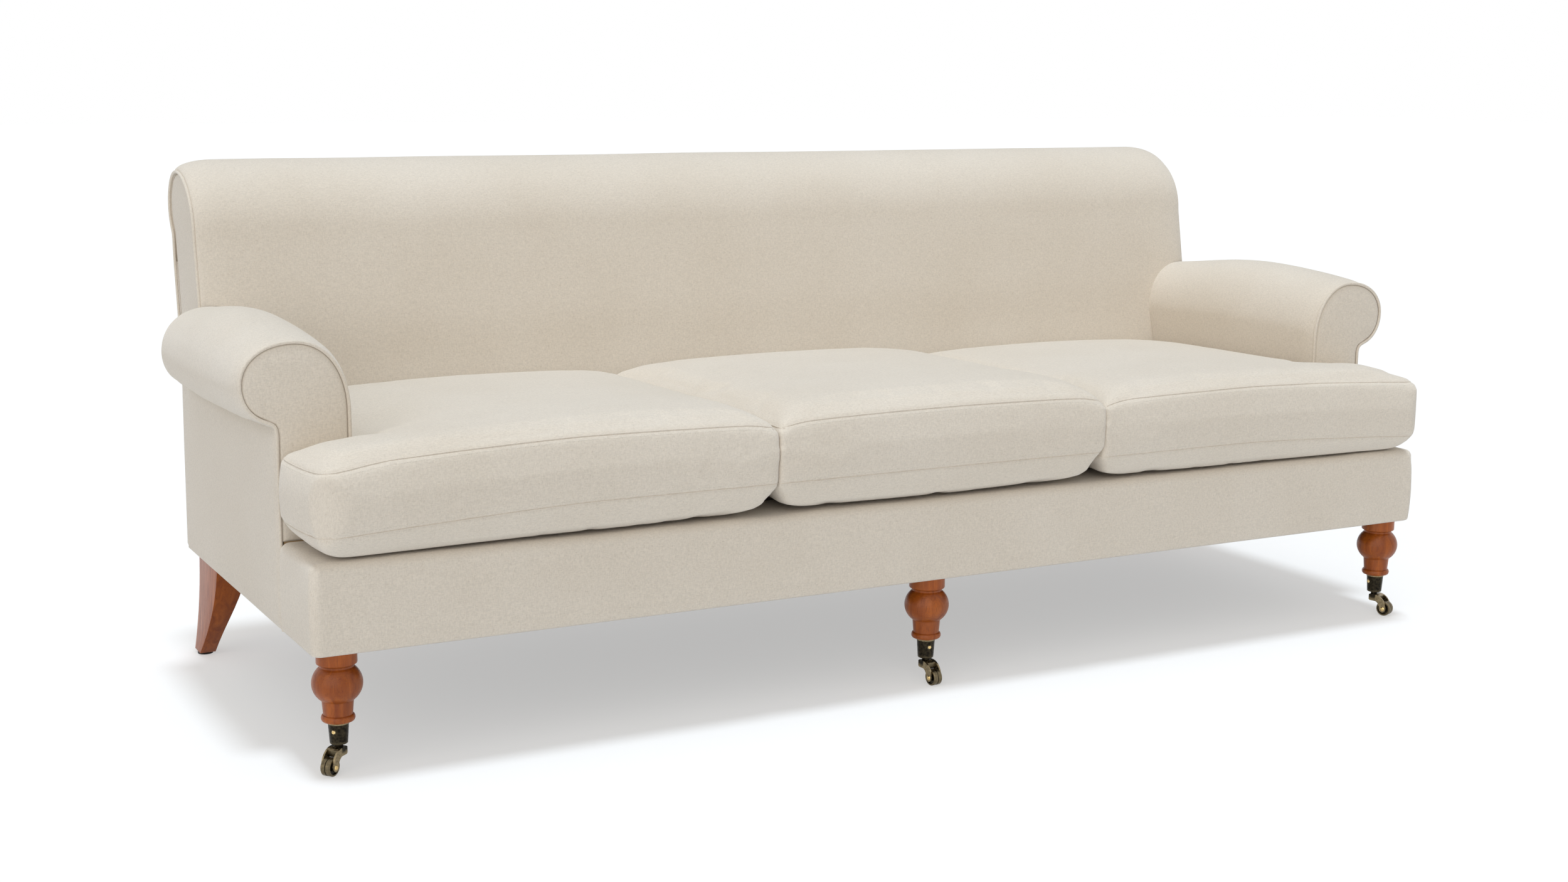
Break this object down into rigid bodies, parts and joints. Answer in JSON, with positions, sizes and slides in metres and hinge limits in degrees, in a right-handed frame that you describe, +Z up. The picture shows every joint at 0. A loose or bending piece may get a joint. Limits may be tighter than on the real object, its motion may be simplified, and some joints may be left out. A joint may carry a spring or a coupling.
{
  "type": "sofa",
  "caption": "Upholstered sofa with rolled arms set back behind T-shaped seat cushions, a tight scroll back, turned legs on cup casters and tapered rear legs.",
  "frame": {"origin": "on the floor under the middle of the sofa, centre of its bounding box in X and Y", "axes": "+Z up, front towards -Y, width along X; the sitter faces -Y, and left is -X as seen from the front"},
  "size_m": [2.2388, 0.9386, 0.8585],
  "materials": {
    "linen": "plain-woven linen and cotton canvas with fine slubs",
    "frame_wood": "sawn hardwood, unfinished",
    "leg_wood": "reddish brown stain under satin lacquer",
    "caster_brass": "aged brass, dark patina with worn edges",
    "bright_brass": "bright brass",
    "steel": "drawn wire and zinc plate",
    "dust_cloth": "black non-woven cloth",
    "webbing": "jute webbing",
    "deck_cloth": "plain deck cloth over felt",
    "glide": "dark brown glide"
  },
  "bodies": {
    "frame": {"front_rail": "frame_wood", "rear_rail": "frame_wood", "side_rail_left": "frame_wood", "side_rail_right": "frame_wood", "centre_rail": "frame_wood", "corner_blocks": "frame_wood", "arm_stump_left": "frame_wood", "arm_stump_right": "frame_wood", "arm_rail_left": "frame_wood", "arm_rail_right": "frame_wood", "back_post_left": "frame_wood", "back_post_right": "frame_wood", "back_mid_posts": "frame_wood", "back_top_rail": "frame_wood", "back_tack_rail": "frame_wood", "seat_springs": "steel", "spring_clips": "steel", "back_webbing": "webbing", "seat_deck": "deck_cloth", "front_border": "linen", "arm_pad_left": "linen", "arm_pad_right": "linen", "arm_front_left": "linen", "arm_front_right": "linen", "arm_outside_left": "linen", "arm_outside_right": "linen", "arm_welt_left": "linen", "arm_welt_right": "linen", "back_pad": "linen", "back_outside": "linen", "back_side_left": "linen", "back_side_right": "linen", "back_welt_left": "linen", "back_welt_right": "linen", "dust_cover": "dust_cloth", "front_leg_left": "leg_wood", "front_leg_middle": "leg_wood", "front_leg_right": "leg_wood", "rear_leg_left": "leg_wood", "rear_leg_right": "leg_wood", "rear_glides": "glide", "leg_bolts": "steel", "caster_cup_left": "caster_brass", "caster_cup_middle": "caster_brass", "caster_cup_right": "caster_brass", "cup_screws": "bright_brass"},
    "cushion_left": {"seat_cushion_left": "linen"},
    "cushion_middle": {"seat_cushion_middle": "linen"},
    "cushion_right": {"seat_cushion_right": "linen"},
    "fork_left": {"caster_fork_left": "caster_brass", "caster_axle_left": "bright_brass"},
    "wheel_left": {"caster_wheel_left": "caster_brass"},
    "fork_middle": {"caster_fork_middle": "caster_brass", "caster_axle_middle": "bright_brass"},
    "wheel_middle": {"caster_wheel_middle": "caster_brass"},
    "fork_right": {"caster_fork_right": "caster_brass", "caster_axle_right": "bright_brass"},
    "wheel_right": {"caster_wheel_right": "caster_brass"}
  },
  "joints": [
    {"name": "cushion_left_lift", "type": "slide", "parent": "frame", "child": "cushion_left", "axis": [0, 0, 1], "range_m": [0, 0.35]},
    {"name": "cushion_middle_lift", "type": "slide", "parent": "frame", "child": "cushion_middle", "axis": [0, 0, 1], "range_m": [0, 0.35]},
    {"name": "cushion_right_lift", "type": "slide", "parent": "frame", "child": "cushion_right", "axis": [0, 0, 1], "range_m": [0, 0.35]},
    {"name": "fork_left_swivel", "type": "hinge", "parent": "frame", "child": "fork_left", "pos_m": [-1.015, -0.4015, 0.0435], "axis": [0, 0, 1], "continuous": true},
    {"name": "wheel_left_roll", "type": "hinge", "parent": "fork_left", "child": "wheel_left", "pos_m": [-1.03352, -0.41597, 0.0137], "axis": [0.6157, -0.788, 0], "continuous": true},
    {"name": "fork_middle_swivel", "type": "hinge", "parent": "frame", "child": "fork_middle", "pos_m": [0, -0.4015, 0.0435], "axis": [0, 0, 1], "continuous": true},
    {"name": "wheel_middle_roll", "type": "hinge", "parent": "fork_middle", "child": "wheel_middle", "pos_m": [0.00246, -0.42487, 0.0137], "axis": [0.9945, 0.1045, 0], "continuous": true},
    {"name": "fork_right_swivel", "type": "hinge", "parent": "frame", "child": "fork_right", "pos_m": [1.015, -0.4015, 0.0435], "axis": [0, 0, 1], "continuous": true},
    {"name": "wheel_right_roll", "type": "hinge", "parent": "fork_right", "child": "wheel_right", "pos_m": [1.02304, -0.42358, 0.0137], "axis": [0.9397, 0.342, 0], "continuous": true}
  ]
}
